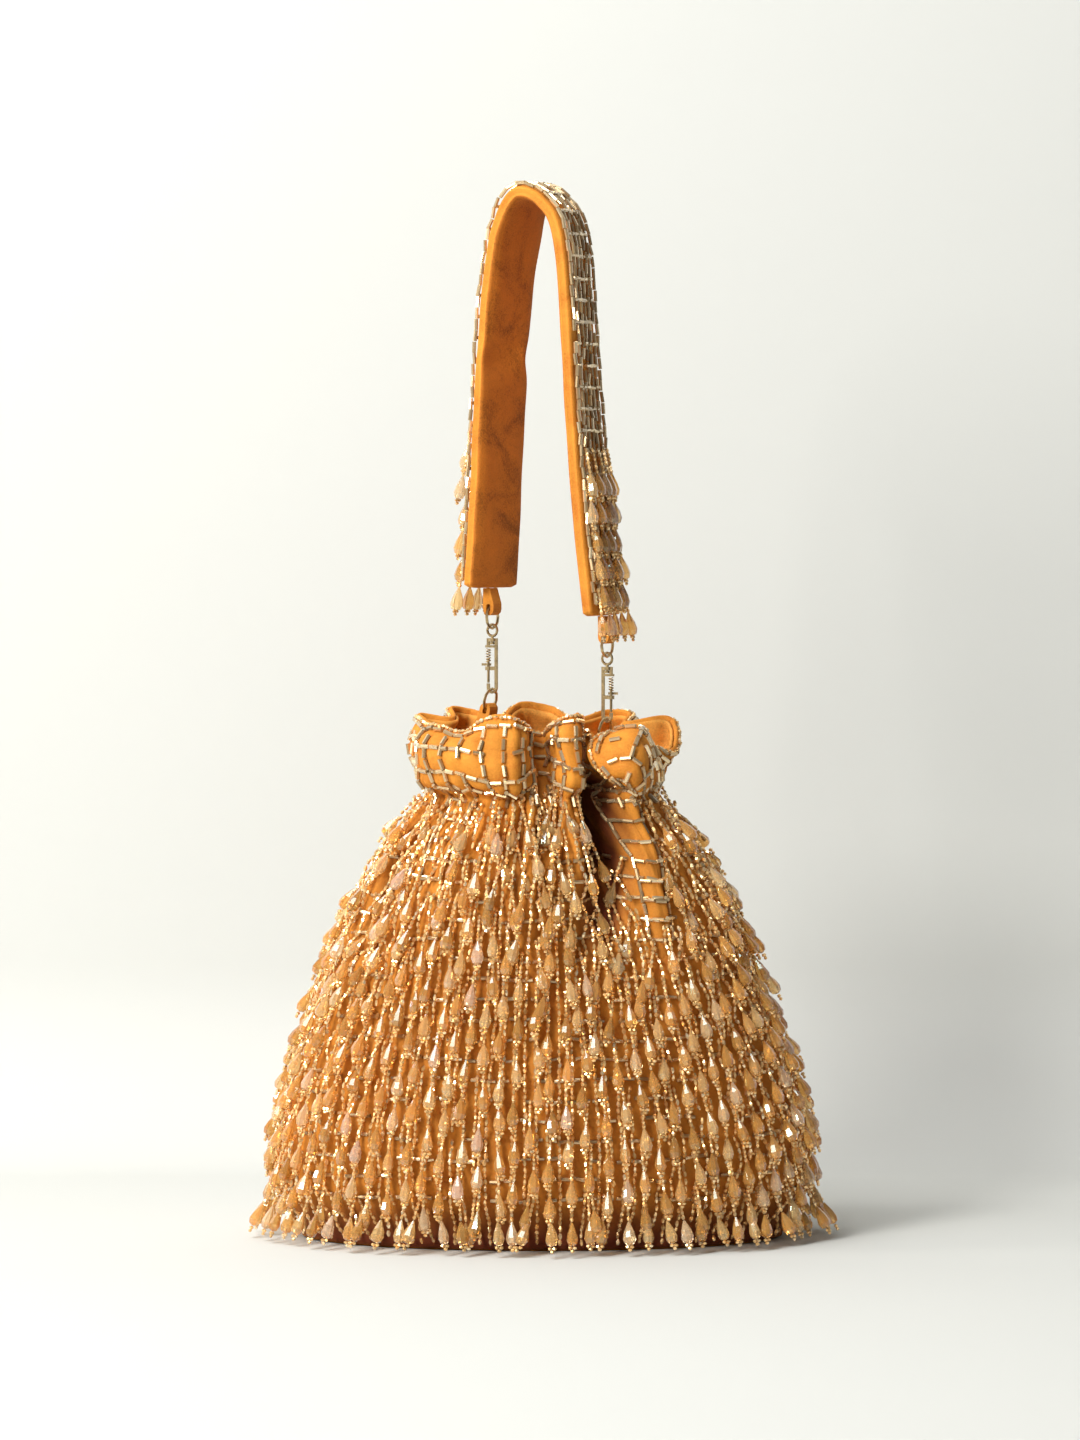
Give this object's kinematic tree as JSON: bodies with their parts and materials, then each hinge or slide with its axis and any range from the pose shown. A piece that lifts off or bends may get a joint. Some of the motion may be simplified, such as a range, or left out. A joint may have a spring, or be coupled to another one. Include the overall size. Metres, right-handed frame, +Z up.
{
  "type": "potli bag",
  "caption": "Gathered velvet pouch on an oval base, covered in rows of strung bead tassels, with a ruffled mouth and a beaded velvet strap clipped on by two snap hooks.",
  "frame": {"origin": "centre of the outline at the table, under the middle of the base", "axes": "+Z up, -Y towards the bag's front, +X to the right seen from the front"},
  "size_m": [0.2162, 0.1326, 0.3926],
  "materials": {
    "velvet": "mustard gold velvet",
    "lining_satin": "soft satin",
    "glass_beads": "champagne glass with a rainbow coat, on gold-lined seed strings",
    "antique_gold": "pale antique gold plate",
    "board": "grey board"
  },
  "bodies": {
    "bag": {"velvet_body": "velvet", "lining": "lining_satin", "base_panel": "velvet", "base_board": "board", "fringe_row_01": "glass_beads", "fringe_row_02": "glass_beads", "fringe_row_03": "glass_beads", "fringe_row_04": "glass_beads", "fringe_row_05": "glass_beads", "fringe_row_06": "glass_beads", "fringe_row_07": "glass_beads", "fringe_row_08": "glass_beads", "fringe_row_09": "glass_beads", "fringe_row_10": "glass_beads", "bag_tab_left": "velvet", "bag_tab_right": "velvet"},
    "ring_left": {"bag_ring_left": "antique_gold"},
    "ring_right": {"bag_ring_right": "antique_gold"},
    "handle": {"strap_face": "velvet", "strap_lining": "velvet", "strap_fringe_left": "glass_beads", "strap_fringe_right": "glass_beads", "strap_tab_left": "velvet", "strap_tab_right": "velvet", "strap_ring_left": "antique_gold", "strap_ring_right": "antique_gold", "clasp_eye_left": "antique_gold", "clasp_eye_right": "antique_gold"},
    "clasp_left": {"clasp_body_left": "antique_gold", "clasp_spring_left": "antique_gold"},
    "clasp_right": {"clasp_body_right": "antique_gold", "clasp_spring_right": "antique_gold"},
    "bolt_left": {"clasp_bolt_left": "antique_gold"},
    "bolt_right": {"clasp_bolt_right": "antique_gold"}
  },
  "joints": [
    {"name": "handle_swing", "type": "hinge", "parent": "bag", "child": "handle", "pos_m": [-0.01949, 0.01125, 0.2005], "axis": [0.8489, -0.4901, -0.198], "range_deg": [-60, 60]},
    {"name": "bag_ring_left_spin", "type": "hinge", "parent": "bag", "child": "ring_left", "pos_m": [-0.01949, 0.01125, 0.2005], "axis": [0.8489, -0.4901, -0.198], "continuous": true},
    {"name": "bag_ring_right_spin", "type": "hinge", "parent": "bag", "child": "ring_right", "pos_m": [0.02338, -0.0135, 0.1905], "axis": [0.8489, -0.4901, -0.198], "continuous": true},
    {"name": "clasp_left_swivel", "type": "hinge", "parent": "handle", "child": "clasp_left", "pos_m": [-0.01872, 0.01081, 0.20521], "axis": [0, 0, 1], "range_deg": [-20, 20]},
    {"name": "clasp_right_swivel", "type": "hinge", "parent": "handle", "child": "clasp_right", "pos_m": [0.02415, -0.01394, 0.19521], "axis": [0, 0, 1], "range_deg": [-20, 20]},
    {"name": "bolt_left_slide", "type": "slide", "parent": "clasp_left", "child": "bolt_left", "axis": [0, 0, 1], "range_m": [0, 0.0028], "stiffness_N_per_m": 60, "deforming": ["clasp_spring_left"]},
    {"name": "bolt_right_slide", "type": "slide", "parent": "clasp_right", "child": "bolt_right", "axis": [0, 0, 1], "range_m": [0, 0.0028], "stiffness_N_per_m": 60, "deforming": ["clasp_spring_right"]}
  ]
}
